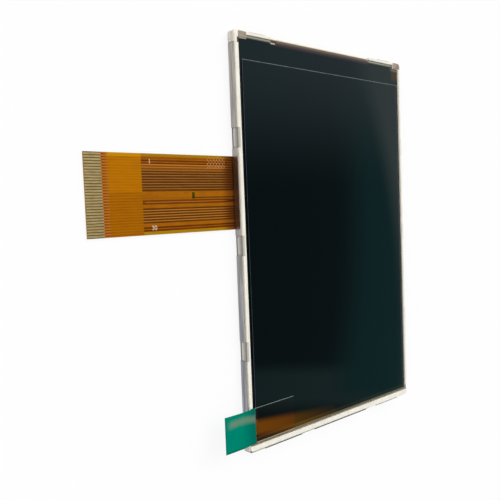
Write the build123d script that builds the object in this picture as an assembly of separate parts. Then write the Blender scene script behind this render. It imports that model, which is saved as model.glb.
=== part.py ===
from build123d import *
import os

# A 3.5 inch class TFT display module with a folded ribbon circuit, in millimetres.
# It lies on its back: X runs across the screen, Y along it towards the folded end,
# and Z out of the screen. The origin is the middle of the outline on the steel back face.

os.makedirs("parts", exist_ok=True)

# Outline of the module
module_width = 57.2
module_length = 88.0
module_thickness = 2.4

# Steel back shell
steel_thickness = 0.2
bend_radius = 0.3
side_wall_height = 1.85
end_wall_height = 2.1
wall_corner_setback = 2.6
end_wall_corner_setback = 4.4
plate_corner_radius = 0.5
latch_gap = 4.2
side_latch_end_distance = 21.8
end_latch_left_distance = 18.15
end_latch_right_distance = 15.75
fold_end_wall_length = 4.6

# Moulded frame
shell_clearance = 0.05
frame_corner_radius = 0.8
rim_edge_chamfer = 0.12
frame_foot_chamfer = 0.12
side_rim_inset = 0.92
end_rim_inset = 1.55
fold_rim_inset = 0.82
corner_pad_clearance = 0.15
opening_side_inset = 2.5
opening_end_inset = 2.7
opening_fold_inset = 2.4
latch_wedge_proud = 0.2
latch_wedge_foot = 0.5
latch_wedge_nose = 0.7
latch_wedge_top = 1.7
latch_end_clearance = 0.3
corner_ear_width = 2.3
corner_ear_length = 0.9
corner_ear_drop = 0.12
corner_ear_clearance = 0.02
corner_slot_width = 0.35
corner_slot_length = 0.6
rim_notch_length = 1.1
rim_notch_end_distance = 1.6
rim_notch_depth = 0.35

# Backlight
backlight_clearance = 0.15
reflector_thickness = 0.08
light_guide_thickness = 0.55
diffuser_thickness = 0.07
prism_film_thickness = 0.065
light_guide_fold_gap = 2.1
film_fold_gap = 3.9
ear_length = 2.2
ear_reach = 0.75
ear_end_distance = 28.0
ear_clearance = 0.1
led_count = 6
led_row_margin = 3.5
led_length = 3.8
led_depth = 1.0
led_height = 0.6
led_window_length = 3.04
led_window_height = 0.36
led_window_depth = 0.15
led_gap = 0.05
led_flex_thickness = 0.1
led_flex_depth = 3.5
led_flex_side_clearance = 0.2

# Display cell
rim_tape_thickness = 0.06
rim_tape_clearance = 0.23
rim_tape_side_width = 1.85
rim_tape_fold_width = 4.75
lower_polariser_thickness = 0.13
glass_thickness = 0.4
cell_gap = 0.01
upper_polariser_thickness = 0.15
film_thickness = 0.05
glass_clearance = 0.15
glass_ledge = 4.0
seal_inset = 0.2
seal_width = 0.8
film_side_inset = 1.86
film_end_inset = 2.1
film_fold_inset = 5.83
polariser_inset = 0.13

# Driver chip and glass ledge
chip_length = 20.0
chip_depth = 1.3
chip_height = 0.3
chip_gap = 0.7
cover_tape_thickness = 0.05
cover_tape_gap = 0.12

# Ribbon circuit
flex_thickness = 0.12
flex_tape_thickness = 0.05
flex_tape_margin = 0.8
bond_depth = 1.3
fold_width = 33.2
fold_side_distance = 13.4
fold_clearance = 0.3
fold_run_clearance = 0.015
contact_count = 30
contact_pitch = 0.5
tail_fold_distance = 25.47
tail_reach = 33.52
flex_corner_radius = 1.5
contact_length = 3.32
contact_width = 0.34
contact_edge_margin = 0.15
contact_thickness = 0.03
stiffener_length = 11.52
stiffener_thickness = 0.18

# Copper traces on the tail. From the fold side, the pins go in groups of one trace width each.
# Where the width is 0 the trace ends under the stiffener, or joins its neighbour's there.
trace_thickness = 0.02
trace_start_gap = 0.1
trace_under_module = 1.0
trace_overlap = 0.1
block_trace_width = 0.26
trace_group_counts = (1, 4, 9, 2, 1, 2, 1, 6, 1, 2, 1)
trace_group_widths = (0.22, 0.30, 0.41, 0, 0.22, 0, 0, 0.33, 0, 0.34, 0)
pin_count_before_joint = 17
joined_pin_count = 2
joined_trace_width = 0.62
joint_run = 1.6

# Small parts on the folded side of the ribbon
capacitor_count = 4
capacitor_pitch = 3.0
capacitor_row_distance = 9.0
capacitor_fold_distance = 17.0
capacitor_width = 0.5
capacitor_length = 1.0
capacitor_height = 0.35
terminal_length = 0.25

# Tongue of the backlight's own ribbon
tongue_gap = 1.2
tongue_width = 3.0
tongue_clearance = 0.3
tongue_leg_length = 11.4
tongue_leg_fold_distance = 11.0
tongue_leg_width = 3.0
tongue_slot_clearance = 0.01
tongue_recess_depth = 0.75
tongue_tape_margin = 0.3
solder_count = 2
solder_pitch = 1.4
solder_width = 0.9
solder_length = 0.85
solder_height = 0.16
solder_taper = 25

# Peel tab of the protective film
tab_thickness = 0.06
tab_width = 7.55
tab_past_film = 0.1
tab_on_film = 11.5
tab_lift_start = 0.35
tab_lift_radius = 4.0
tab_lift_angle = 18.0
tab_rise_length = 0.9
tab_drop_radius = 30.0
tab_drop_angle = 10.0
tab_end_length = 3.4
tab_slant = 0.85

# How far a cut reaches past what it cuts
cut_margin = 1.0

# Worked out from the sizes above
half_width = module_width / 2
half_length = module_length / 2
plate_top = steel_thickness
reflector_top = plate_top + reflector_thickness
light_guide_top = reflector_top + light_guide_thickness
diffuser_top = light_guide_top + diffuser_thickness
lower_prism_top = diffuser_top + prism_film_thickness
shelf_top = lower_prism_top + prism_film_thickness
rim_tape_top = shelf_top + rim_tape_thickness
lower_polariser_top = rim_tape_top + lower_polariser_thickness
array_top = lower_polariser_top + glass_thickness
filter_bottom = array_top + cell_gap
filter_top = filter_bottom + glass_thickness
upper_polariser_top = filter_top + upper_polariser_thickness
film_top = upper_polariser_top + film_thickness
cover_tape_top = filter_top + cover_tape_thickness
corner_ear_floor = cover_tape_top + corner_ear_clearance
corner_ear_top = module_thickness - corner_ear_drop

side_latch_reach = half_length - side_latch_end_distance
side_latch_places = (-side_latch_reach, 0.0, side_latch_reach)
end_latch_places = (end_latch_left_distance - half_width, half_width - end_latch_right_distance)

frame_half_width = half_width - steel_thickness - shell_clearance
frame_half_length = half_length - steel_thickness - shell_clearance
pocket_side = half_width - side_rim_inset
pocket_end = -half_length + end_rim_inset
pocket_fold = half_length - fold_rim_inset
opening_side = half_width - opening_side_inset
opening_end = -half_length + opening_end_inset
opening_fold = half_length - opening_fold_inset

# The ribbon's fold: a half round from the glass ledge to the steel back
flex_back_top = -flex_tape_thickness
flex_back_bottom = flex_back_top - flex_thickness
fold_inner_radius = (array_top - flex_back_top) / 2
fold_outer_radius = fold_inner_radius + flex_thickness
fold_centre_y = half_length - fold_outer_radius
fold_right = half_width - fold_side_distance
fold_left = fold_right - fold_width
glass_fold_edge = fold_centre_y - fold_run_clearance
plate_recess_face = glass_fold_edge - shell_clearance

glass_side = pocket_side - glass_clearance
glass_end = pocket_end + glass_clearance
filter_fold_edge = glass_fold_edge - glass_ledge
film_left = -half_width + film_side_inset
film_right = half_width - film_side_inset
film_end = -half_length + film_end_inset
film_fold_edge = half_length - film_fold_inset

flex_width = (contact_count - 1) * contact_pitch + contact_width + 2 * contact_edge_margin
tail_top = half_length - tail_fold_distance
tail_bottom = tail_top - flex_width
tail_end = -half_width - tail_reach
contact_inner_end = tail_end + contact_length
first_contact_y = tail_top - contact_edge_margin - contact_width / 2

# The backlight ribbon's tongue folds outside the main ribbon's back face
tongue_back_top = flex_back_bottom
tongue_outer_radius = (light_guide_top - tongue_back_top) / 2 + led_flex_thickness
tongue_centre_y = half_length - tongue_outer_radius
tongue_left = fold_right + tongue_gap
tongue_right = tongue_left + tongue_width
tongue_leg_end = tongue_right - tongue_leg_length
tongue_leg_bottom = half_length - tongue_leg_fold_distance

ear_place = half_length - ear_end_distance
led_strip_side = opening_side - led_flex_side_clearance
led_pitch = (2 * (led_strip_side - led_row_margin) - led_length) / (led_count - 1)
capacitor_first_x = fold_left + capacitor_row_distance
capacitor_y = half_length - capacitor_fold_distance
tab_bottom = film_end - tab_past_film


def sheet(left, right, bottom, top, floor, ceiling, corner=0.0):
    """A flat piece between the given edges, from the floor height to the ceiling height."""
    width = right - left
    length = top - bottom
    outline = RectangleRounded(width, length, corner) if corner > 0 else Rectangle(width, length)
    middle = Pos((left + right) / 2, (bottom + top) / 2, floor)
    return extrude(middle * outline, ceiling - floor)


def between(start, end, gap_places, gap):
    """The stretches from start to end that are left between gaps centred on the given places."""
    edges = [start]
    for place in sorted(gap_places):
        edges += [place - gap / 2, place + gap / 2]
    edges.append(end)
    return list(zip(edges[0::2], edges[1::2]))


def bent_wall(reach, start, end, height):
    """A wall bent up from the back plate, its outer face at X = reach, from Y = start to end."""
    inner_radius = bend_radius - steel_thickness
    centre = (reach - bend_radius, bend_radius)
    outer_face = reach
    inner_face = reach - steel_thickness
    outline = Curve() + [
        CenterArc(centre, bend_radius, -90, 90),
        Line((outer_face, bend_radius), (outer_face, height)),
        Line((outer_face, height), (inner_face, height)),
        Line((inner_face, height), (inner_face, bend_radius)),
        CenterArc(centre, inner_radius, -90, 90),
        Line((centre[0], steel_thickness), (centre[0], 0)),
    ]
    section = Plane.XZ.offset(-start) * make_face(outline)
    return extrude(section, start - end)


def make_steel_shell():
    """The back plate with walls bent up on four sides, open at the latches and the fold."""
    plate_side = half_width - bend_radius
    plate_end = half_length - bend_radius
    shell = sheet(-plate_side, plate_side, -plate_end, plate_end, 0, steel_thickness, plate_corner_radius)

    wall_end = half_length - wall_corner_setback
    for start, end in between(-wall_end, wall_end, side_latch_places, latch_gap):
        side_wall = bent_wall(half_width, start, end, side_wall_height)
        shell += side_wall
        shell += Rot(0, 0, 180) * side_wall

    end_wall_edge = half_width - end_wall_corner_setback
    for start, end in between(-end_wall_edge, end_wall_edge, end_latch_places, latch_gap):
        shell += Rot(0, 0, -90) * bent_wall(half_length, start, end, end_wall_height)

    for start in (-end_wall_edge, end_wall_edge - fold_end_wall_length):
        fold_end_wall = bent_wall(half_length, start, start + fold_end_wall_length, side_wall_height)
        shell += Rot(0, 0, 90) * fold_end_wall

    shell -= sheet(fold_left - fold_clearance, fold_right + fold_clearance,
                   plate_recess_face, half_length + cut_margin, -cut_margin, module_thickness)
    shell -= sheet(tongue_left - tongue_clearance, tongue_right + tongue_clearance,
                   half_length - tongue_recess_depth - shell_clearance,
                   half_length + cut_margin, -cut_margin, module_thickness)
    return shell


def latch_wedge(reach, place):
    """A wedge on the frame's outer face at X = reach that fills a gap in the steel wall."""
    length = latch_gap - 2 * latch_end_clearance
    outline = Polyline(
        (reach, latch_wedge_foot),
        (reach + latch_wedge_proud, latch_wedge_nose),
        (reach, latch_wedge_top),
        close=True,
    )
    section = Plane.XZ.offset(-(place - length / 2)) * make_face(outline)
    return extrude(section, -length)


def corner_areas(width, length, floor, ceiling):
    """Four blocks past the outline's corners, each reaching in by the given width and length."""
    blocks = []
    for side in (-1, 1):
        for end in (-1, 1):
            centre_x = side * (half_width + (cut_margin - width) / 2)
            centre_y = end * (half_length + (cut_margin - length) / 2)
            area = Rectangle(width + cut_margin, length + cut_margin)
            blocks.append(extrude(Pos(centre_x, centre_y, floor) * area, ceiling - floor))
    return blocks


def corner_ear():
    """The thin ear over the glass's corner at the folded end, and the step that it leaves in the rim."""
    ear_inner = pocket_side - corner_ear_width
    ear = sheet(ear_inner, pocket_side, pocket_fold - corner_ear_length, pocket_fold,
                corner_ear_floor, corner_ear_top)
    ear -= sheet(pocket_side - corner_slot_width, pocket_side,
                 pocket_fold - corner_ear_length - cut_margin,
                 pocket_fold - corner_ear_length + corner_slot_length,
                 corner_ear_floor - cut_margin, corner_ear_top + cut_margin)
    step = sheet(ear_inner, pocket_side, pocket_fold, half_length + cut_margin,
                 corner_ear_top, module_thickness + cut_margin)
    return ear, step


def make_mould_frame():
    """The white frame: a rim, a shelf under the glass, corner pads and ears, wedges and the fold recess."""
    rim = sheet(-frame_half_width, frame_half_width, -frame_half_length, frame_half_length,
                plate_top, module_thickness, frame_corner_radius)
    frame = chamfer(rim.faces().sort_by(Axis.Z)[-1].edges(), rim_edge_chamfer)
    frame = chamfer(frame.faces().sort_by(Axis.Z)[0].edges(), frame_foot_chamfer)

    full_outline = sheet(-half_width, half_width, -half_length, half_length,
                         plate_top, side_wall_height, frame_corner_radius)
    pad_width = end_wall_corner_setback - corner_pad_clearance
    pad_length = wall_corner_setback - corner_pad_clearance
    for area in corner_areas(pad_width, pad_length, plate_top, side_wall_height):
        frame += full_outline & area

    for place in side_latch_places:
        wedge = latch_wedge(frame_half_width, place)
        frame += wedge
        frame += Rot(0, 0, 180) * wedge
    for place in end_latch_places:
        frame += Rot(0, 0, -90) * latch_wedge(frame_half_length, place)

    frame -= sheet(-pocket_side, pocket_side, pocket_end, pocket_fold,
                   shelf_top, module_thickness + cut_margin)
    frame -= sheet(-opening_side, opening_side, opening_end, opening_fold,
                   0, shelf_top + cut_margin)
    ear, step = corner_ear()
    frame += ear
    frame += mirror(ear, about=Plane.YZ)
    frame -= step
    frame -= mirror(step, about=Plane.YZ)
    notch_end = -half_length + rim_notch_end_distance
    frame -= sheet(-half_width - cut_margin, half_width + cut_margin,
                   notch_end, notch_end + rim_notch_length,
                   module_thickness - rim_notch_depth, module_thickness + cut_margin)

    notch_reach = opening_side + ear_reach
    for end in (-1, 1):
        notch_centre = end * ear_place
        notch_half = ear_length / 2 + ear_clearance
        frame -= sheet(-notch_reach, notch_reach, notch_centre - notch_half,
                       notch_centre + notch_half, 0, light_guide_top)

    frame -= sheet(fold_left - fold_clearance, fold_right + fold_clearance,
                   glass_fold_edge, half_length + cut_margin, 0, module_thickness + cut_margin)
    tongue_cut_left = tongue_left - tongue_clearance
    tongue_cut_right = tongue_right + tongue_clearance
    frame -= sheet(tongue_cut_left, tongue_cut_right, half_length - tongue_recess_depth,
                   half_length + cut_margin, 0, shelf_top)
    frame -= sheet(tongue_cut_left, tongue_cut_right, opening_fold - cut_margin,
                   half_length + cut_margin, light_guide_top - tongue_slot_clearance, shelf_top)
    return frame


def make_light_guide():
    """The clear light guide with a locating ear in each notch of the frame."""
    side = opening_side - backlight_clearance
    end = opening_end + backlight_clearance
    entrance = opening_fold - light_guide_fold_gap
    guide = sheet(-side, side, end, entrance, reflector_top, light_guide_top)
    ear_side = opening_side + ear_reach - ear_clearance
    for place in (-ear_place, ear_place):
        guide += sheet(-ear_side, ear_side, place - ear_length / 2, place + ear_length / 2,
                       reflector_top, light_guide_top)
    return guide


def backlight_film(floor, thickness):
    """A loose optical film on the light guide."""
    side = opening_side - backlight_clearance
    end = opening_end + backlight_clearance
    return sheet(-side, side, end, opening_fold - film_fold_gap, floor, floor + thickness)


def make_reflector():
    """The white reflector under the light guide."""
    side = opening_side - backlight_clearance
    end = opening_end + backlight_clearance
    return sheet(-side, side, end, opening_fold - light_guide_fold_gap, plate_top, reflector_top)


def make_leds():
    """The row of side-firing light packages that faces the light guide's edge."""
    near = opening_fold - light_guide_fold_gap + led_gap
    packages = []
    for number in range(led_count):
        centre = (number - (led_count - 1) / 2) * led_pitch
        body = sheet(centre - led_length / 2, centre + led_length / 2, near, near + led_depth,
                     light_guide_top - led_height, light_guide_top)
        window_floor = light_guide_top - (led_height + led_window_height) / 2
        body -= sheet(centre - led_window_length / 2, centre + led_window_length / 2,
                      near - cut_margin, near + led_window_depth,
                      window_floor, window_floor + led_window_height)
        packages.append(body)
    return Compound(children=packages)


def folded_band(top_start, top_inner, bottom_end, bottom_inner, centre_y, thickness):
    """A ribbon's section in the YZ plane: an upper run, a half-round fold and a lower run."""
    centre_z = (top_inner + bottom_inner) / 2
    inner_radius = (top_inner - bottom_inner) / 2
    outer_radius = inner_radius + thickness
    top_outer = top_inner + thickness
    bottom_outer = bottom_inner - thickness
    outline = Curve() + [
        Line((top_start, top_outer), (centre_y, top_outer)),
        CenterArc((centre_y, centre_z), outer_radius, -90, 180),
        Line((centre_y, bottom_outer), (bottom_end, bottom_outer)),
        Line((bottom_end, bottom_outer), (bottom_end, bottom_inner)),
        Line((bottom_end, bottom_inner), (centre_y, bottom_inner)),
        CenterArc((centre_y, centre_z), inner_radius, -90, 180),
        Line((centre_y, top_inner), (top_start, top_inner)),
        Line((top_start, top_inner), (top_start, top_outer)),
    ]
    return make_face(outline)


def extrude_band(section, left, right):
    """A folded section carried across from the left edge to the right edge."""
    return extrude(Plane.YZ.offset(left) * section, right - left)


def make_led_flex():
    """The light strip's own ribbon, with a tongue folded to the back and a leg to the main ribbon."""
    strip_fold_edge = opening_fold - led_flex_side_clearance
    strip_near_edge = strip_fold_edge - led_flex_depth
    strip = sheet(-led_strip_side, led_strip_side, strip_near_edge, strip_fold_edge,
                  light_guide_top, light_guide_top + led_flex_thickness)
    section = folded_band(strip_near_edge, light_guide_top, tongue_leg_bottom,
                          tongue_back_top, tongue_centre_y, led_flex_thickness)
    tongue = extrude_band(section, tongue_left, tongue_right)
    leg = sheet(tongue_leg_end, tongue_right, tongue_leg_bottom,
                tongue_leg_bottom + tongue_leg_width,
                tongue_back_top - led_flex_thickness, tongue_back_top)
    return strip + tongue + leg


def make_rim_tape():
    """The black tape ring that darkens the border and holds the glass on the shelf."""
    side = pocket_side - rim_tape_clearance
    end = pocket_end + rim_tape_clearance
    fold_edge = glass_fold_edge
    ring = sheet(-side, side, end, fold_edge, shelf_top, rim_tape_top)
    inner_side = side - rim_tape_side_width
    ring -= sheet(-inner_side, inner_side, end + rim_tape_side_width,
                  fold_edge - rim_tape_fold_width,
                  shelf_top - cut_margin, rim_tape_top + cut_margin)
    return ring


def make_polariser(floor, thickness):
    """A polariser sheet, a little smaller than the protective film."""
    return sheet(film_left + polariser_inset, film_right - polariser_inset,
                 film_end + polariser_inset, film_fold_edge - polariser_inset,
                 floor, floor + thickness)


def seal_outline(inset, floor, ceiling):
    """The area inside the cell's glass, in from the filter glass's edge by the inset."""
    return sheet(-glass_side + inset, glass_side - inset, glass_end + inset,
                 filter_fold_edge - inset, floor, ceiling)


def make_cell_seal():
    """The seal ring between the two glasses."""
    ring = seal_outline(seal_inset, array_top, filter_bottom)
    return ring - seal_outline(seal_inset + seal_width,
                               array_top - cut_margin, filter_bottom + cut_margin)


def make_chip():
    """The driver chip on the glass ledge, in line with the ribbon's middle."""
    near = filter_fold_edge + chip_gap
    left = (fold_left + fold_right - chip_length) / 2
    return sheet(left, left + chip_length, near, near + chip_depth,
                 array_top, array_top + chip_height)


def make_flex():
    """The main ribbon: bonded to the glass ledge, folded over the end, with its tail to the left."""
    section = folded_band(glass_fold_edge - bond_depth, array_top, tail_bottom, flex_back_top,
                          fold_centre_y, flex_thickness)
    flex = extrude_band(section, fold_left, fold_right)
    flex += sheet(tail_end, fold_right, tail_bottom, tail_top, flex_back_bottom, flex_back_top)
    upright = flex.edges().filter_by(Axis.Z)
    inner_corner = upright.sort_by_distance((fold_left, tail_top, flex_back_top))[0]
    outer_corner = upright.sort_by_distance((fold_right, tail_bottom, flex_back_top))[0]
    flex = fillet([inner_corner, outer_corner], flex_corner_radius)
    flex -= sheet(tail_end - cut_margin, contact_inner_end,
                  tail_bottom - cut_margin, tail_top + cut_margin,
                  flex_back_top - contact_thickness, flex_back_top + cut_margin)
    return flex


def make_flex_tape():
    """The adhesive between the ribbon and the steel back."""
    left = fold_left + flex_tape_margin
    right = fold_right - flex_tape_margin
    bottom = tail_bottom + flex_tape_margin
    tape = sheet(left, right, bottom, plate_recess_face - flex_tape_margin, flex_back_top, 0)
    tape += sheet(-half_width + bend_radius + trace_under_module, right, bottom,
                  tail_top - flex_tape_margin, flex_back_top, 0)
    return tape


def make_sealant():
    """The sealant that fills the glass ledge round the chip and the ribbon's bond."""
    block = sheet(-glass_side, glass_side, filter_fold_edge, glass_fold_edge, array_top, filter_top)
    bond = sheet(fold_left, fold_right, glass_fold_edge - bond_depth,
                 glass_fold_edge + cut_margin, array_top - cut_margin, array_top + flex_thickness)
    return block - make_chip() - bond


def pin_y(number):
    """The place of a contact across the tail, counted from the fold side."""
    return first_contact_y - number * contact_pitch


def make_contacts():
    """The row of bare contact fingers at the tail's end."""
    fingers = []
    for number in range(contact_count):
        centre = pin_y(number)
        fingers.append(sheet(tail_end, contact_inner_end, centre - contact_width / 2,
                             centre + contact_width / 2, flex_back_top - contact_thickness,
                             flex_back_top))
    return Compound(children=fingers)


def make_traces():
    """The copper traces along the tail, from the contacts to just under the module."""
    start = contact_inner_end + trace_start_gap
    block_end = tail_end + stiffener_length
    exit_end = -half_width + trace_under_module
    traces = []

    def run(left, right, centre, width):
        return sheet(left, right, centre - width / 2, centre + width / 2,
                     flex_back_top, flex_back_top + trace_thickness)

    widths = []
    for count, width in zip(trace_group_counts, trace_group_widths):
        widths += [width] * count
    joined_pins = range(pin_count_before_joint, pin_count_before_joint + joined_pin_count)
    for number in range(contact_count):
        if number in joined_pins:
            continue
        trace = run(start, block_end, pin_y(number), block_trace_width)
        if widths[number] > 0:
            trace += run(block_end - trace_overlap, exit_end, pin_y(number), widths[number])
        traces.append(trace)

    pins = [pin_y(number) for number in joined_pins]
    middle = sum(pins) / joined_pin_count
    joined = run(block_end + joint_run, exit_end, middle, joined_trace_width)
    for pin in pins:
        joined += run(start, block_end, pin, block_trace_width)
        half = block_trace_width / 2
        slant = Polyline(
            (block_end, pin - half),
            (block_end + joint_run, middle - half),
            (block_end + joint_run, middle + half),
            (block_end, pin + half),
            close=True,
        )
        joined += extrude(Pos(0, 0, flex_back_top) * make_face(slant), trace_thickness)
    traces.append(joined)
    return Compound(children=traces)


def capacitor_centres():
    """The capacitors' places along the row."""
    return [capacitor_first_x + number * capacitor_pitch for number in range(capacitor_count)]


def make_capacitor_bodies():
    """The ceramic middles of the chip capacitors."""
    half = capacitor_length / 2 - terminal_length
    bodies = []
    for centre in capacitor_centres():
        bodies.append(sheet(centre - capacitor_width / 2, centre + capacitor_width / 2,
                            capacitor_y - half, capacitor_y + half,
                            flex_back_bottom - capacitor_height, flex_back_bottom))
    return Compound(children=bodies)


def make_capacitor_terminals():
    """The plated ends of the chip capacitors."""
    terminals = []
    for centre in capacitor_centres():
        for end in (-1, 1):
            middle = capacitor_y + end * (capacitor_length - terminal_length) / 2
            terminals.append(sheet(centre - capacitor_width / 2, centre + capacitor_width / 2,
                                   middle - terminal_length / 2, middle + terminal_length / 2,
                                   flex_back_bottom - capacitor_height, flex_back_bottom))
    return Compound(children=terminals)


def make_solder_joints():
    """The solder between the tongue's leg and the main ribbon."""
    joints = []
    leg_middle = tongue_leg_bottom + tongue_leg_width / 2
    for number in range(solder_count):
        centre = leg_middle + (number - (solder_count - 1) / 2) * solder_pitch
        foot = Pos(tongue_leg_end - solder_length / 2, centre, flex_back_bottom)
        pad = foot * Rectangle(solder_length, solder_width)
        joints.append(extrude(pad, -solder_height, taper=solder_taper))
    return Compound(children=joints)


def make_tongue_tape():
    """The adhesive pad between the backlight's tongue and the steel back."""
    return sheet(tongue_left + tongue_tape_margin, tongue_right - tongue_tape_margin,
                 tongue_leg_bottom + tongue_tape_margin,
                 half_length - tongue_recess_depth - shell_clearance - tongue_tape_margin,
                 tongue_back_top, 0)


def make_peel_tab():
    """The green pull tab: stuck on the film's corner, lifted over the rim, its free end a little askew."""
    inner_end = (film_left + tab_on_film, film_top)
    lift_start = (film_left + tab_lift_start, film_top)
    stuck = Line(inner_end, lift_start)
    lift = JernArc(lift_start, (-1, 0), tab_lift_radius, -tab_lift_angle)
    rise = Line(lift @ 1, (lift @ 1) + tab_rise_length * (lift % 1))
    level = JernArc(rise @ 1, rise % 1, tab_drop_radius, tab_drop_angle)
    free_end = Line(level @ 1, (level @ 1) + tab_end_length * (level % 1))
    path = Curve() + [stuck, lift, rise, level, free_end]
    raised = Pos(0, tab_thickness, 0) * path
    joins = [Line(inner_end, (inner_end[0], inner_end[1] + tab_thickness)),
             Line(free_end @ 1, (free_end @ 1) + Vector(0, tab_thickness))]
    section = Plane.XZ.offset(-tab_bottom) * make_face(path + raised + joins)
    strip = extrude(section, -(tab_width + tab_slant))
    tab_top = tab_bottom + tab_width
    free_side = (free_end @ 1).X - cut_margin
    lift_side = lift_start[0]
    slant_end = tab_slant * (lift_side - free_side) / (lift_side - (free_end @ 1).X)
    outline = Polyline(
        (inner_end[0] + cut_margin, tab_bottom),
        (lift_side, tab_bottom),
        (free_side, tab_bottom + slant_end),
        (free_side, tab_top + slant_end),
        (lift_side, tab_top),
        (inner_end[0] + cut_margin, tab_top),
        close=True,
    )
    return strip & extrude(make_face(outline), (free_end @ 1).Y + cut_margin)


def make_cover_tape():
    """The black tape over the glass ledge, from the film's edge to the rim."""
    return sheet(-glass_side, glass_side, film_fold_edge + cover_tape_gap,
                 pocket_fold - cover_tape_gap, filter_top, cover_tape_top)


nodes = {
    "steel_shell": make_steel_shell(),
    "mould_frame": make_mould_frame(),
    "reflector_film": make_reflector(),
    "light_guide": make_light_guide(),
    "diffuser_film": backlight_film(light_guide_top, diffuser_thickness),
    "prism_film_lower": backlight_film(diffuser_top, prism_film_thickness),
    "prism_film_upper": backlight_film(lower_prism_top, prism_film_thickness),
    "led_packages": make_leds(),
    "led_flex": make_led_flex(),
    "led_solder_joints": make_solder_joints(),
    "led_tongue_tape": make_tongue_tape(),
    "rim_tape": make_rim_tape(),
    "lower_polariser": make_polariser(rim_tape_top, lower_polariser_thickness),
    "array_glass": sheet(-glass_side, glass_side, glass_end, glass_fold_edge,
                         lower_polariser_top, array_top),
    "cell_seal": make_cell_seal(),
    "liquid_crystal": seal_outline(seal_inset + seal_width, array_top, filter_bottom),
    "filter_glass": sheet(-glass_side, glass_side, glass_end, filter_fold_edge,
                          filter_bottom, filter_top),
    "upper_polariser": make_polariser(filter_top, upper_polariser_thickness),
    "protective_film": sheet(film_left, film_right, film_end, film_fold_edge,
                             upper_polariser_top, film_top),
    "peel_tab": make_peel_tab(),
    "driver_chip": make_chip(),
    "ledge_sealant": make_sealant(),
    "ledge_cover_tape": make_cover_tape(),
    "ribbon_circuit": make_flex(),
    "ribbon_tape": make_flex_tape(),
    "contact_fingers": make_contacts(),
    "contact_stiffener": sheet(tail_end, tail_end + stiffener_length, tail_bottom, tail_top,
                               flex_back_bottom - stiffener_thickness, flex_back_bottom),
    "copper_traces": make_traces(),
    "capacitor_bodies": make_capacitor_bodies(),
    "capacitor_terminals": make_capacitor_terminals(),
}

for name, shape in nodes.items():
    export_step(shape, f"parts/{name}.step")
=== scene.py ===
import math

import bpy
from mathutils import Matrix, Vector


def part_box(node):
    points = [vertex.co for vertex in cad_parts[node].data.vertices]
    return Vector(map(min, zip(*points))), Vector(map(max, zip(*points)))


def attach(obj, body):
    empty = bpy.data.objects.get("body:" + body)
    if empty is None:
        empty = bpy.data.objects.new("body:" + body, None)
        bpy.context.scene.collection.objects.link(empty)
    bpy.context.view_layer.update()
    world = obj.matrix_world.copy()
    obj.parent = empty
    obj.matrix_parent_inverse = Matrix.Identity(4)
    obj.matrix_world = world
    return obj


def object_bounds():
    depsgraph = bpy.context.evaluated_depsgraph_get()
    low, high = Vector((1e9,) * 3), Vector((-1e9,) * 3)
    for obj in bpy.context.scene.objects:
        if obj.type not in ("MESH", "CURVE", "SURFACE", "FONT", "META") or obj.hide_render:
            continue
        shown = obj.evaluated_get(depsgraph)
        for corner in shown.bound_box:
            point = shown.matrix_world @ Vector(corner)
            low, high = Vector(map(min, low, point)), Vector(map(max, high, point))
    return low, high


# The finish of a TFT display module: its screen, moulded frame, steel shell, ribbon and peel tab.
# Lengths are metres, and a value whose name ends in _MM or _mm is in millimetres.
# A pair of places is where a soft change starts and is full, or the two edges of a strip.
# A depth is measured in from an outline, or down from a top.

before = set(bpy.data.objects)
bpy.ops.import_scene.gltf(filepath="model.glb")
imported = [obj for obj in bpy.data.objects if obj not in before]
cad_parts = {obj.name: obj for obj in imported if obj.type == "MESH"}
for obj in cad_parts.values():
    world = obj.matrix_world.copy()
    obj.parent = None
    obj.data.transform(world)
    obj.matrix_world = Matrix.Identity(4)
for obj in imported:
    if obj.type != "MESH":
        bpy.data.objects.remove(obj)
cad_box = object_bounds()
MM = 0.001

# Camera, fitted to the straight edges of the module
CAMERA_PLACE = Vector((-114.35, 7.53, 99.78)) * MM
CAMERA_AIM = Vector((-26.70, -0.975, 2.40)) * MM
CAMERA_ROLL = math.radians(2.231)
FOCAL_LENGTH_MM = 45.50
SENSOR_WIDTH_MM = 36.0
NEAR_LIMIT = 0.005
FAR_LIMIT = 20.0

# Studio: its floor, and the levels of light of the sky, the horizon, the wide key and the left side
FLOOR_SIZE = 6.0
FLOOR_CLEARANCE = 0.02 * MM
FLOOR_COLOUR = (246, 246, 246)
FLOOR_CLOUD_COLOUR = (244, 244, 244)
FLOOR_GLOW_SHARE = 0.88
SKY_LEVEL = 0.56
HORIZON_LEVEL = 0.93
HORIZON_SPAN = (0.05, 0.30)
KEY_LEVEL = 3.1
KEY_DIRECTION = (0.26, 0.50, 0.82)
KEY_REACH = 0.62
SIDE_LEVEL = 1.7
SIDE_DIRECTION = (-0.90, -0.05, 0.32)
SIDE_REACH = 0.70
PATCH_CORE = 0.97

# The panel that the screen mirrors, and its tinted parts, along the direction of a ray
PANEL_COLOUR = (0.045, 0.075, 0.083)
PANEL_UPPER_COLOUR = (0.40, 0.41, 0.46)
PANEL_FAR_COLOUR = (0.075, 0.22, 0.23)
PANEL_LOWER_COLOUR = (0.17, 0.24, 0.24)
PANEL_NEAR_X = (0.34, 0.52)
PANEL_FAR_Z = (0.561, 0.587)
PANEL_FAR_LEAN = 0.11
PANEL_FAR_TINT_Z = (0.645, 0.600)
PANEL_FAR_TINT_Y = (-0.300, -0.275)
PANEL_UPPER_Y = (0.36, 0.25)
PANEL_UPPER_TINT_Y = (0.02, 0.24)
PANEL_LOWER_Y = (-0.62, -0.46)
PANEL_LOWER_BAND_Y = (-0.290, -0.265)
PANEL_LOWER_SOFTNESS = 0.03

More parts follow.
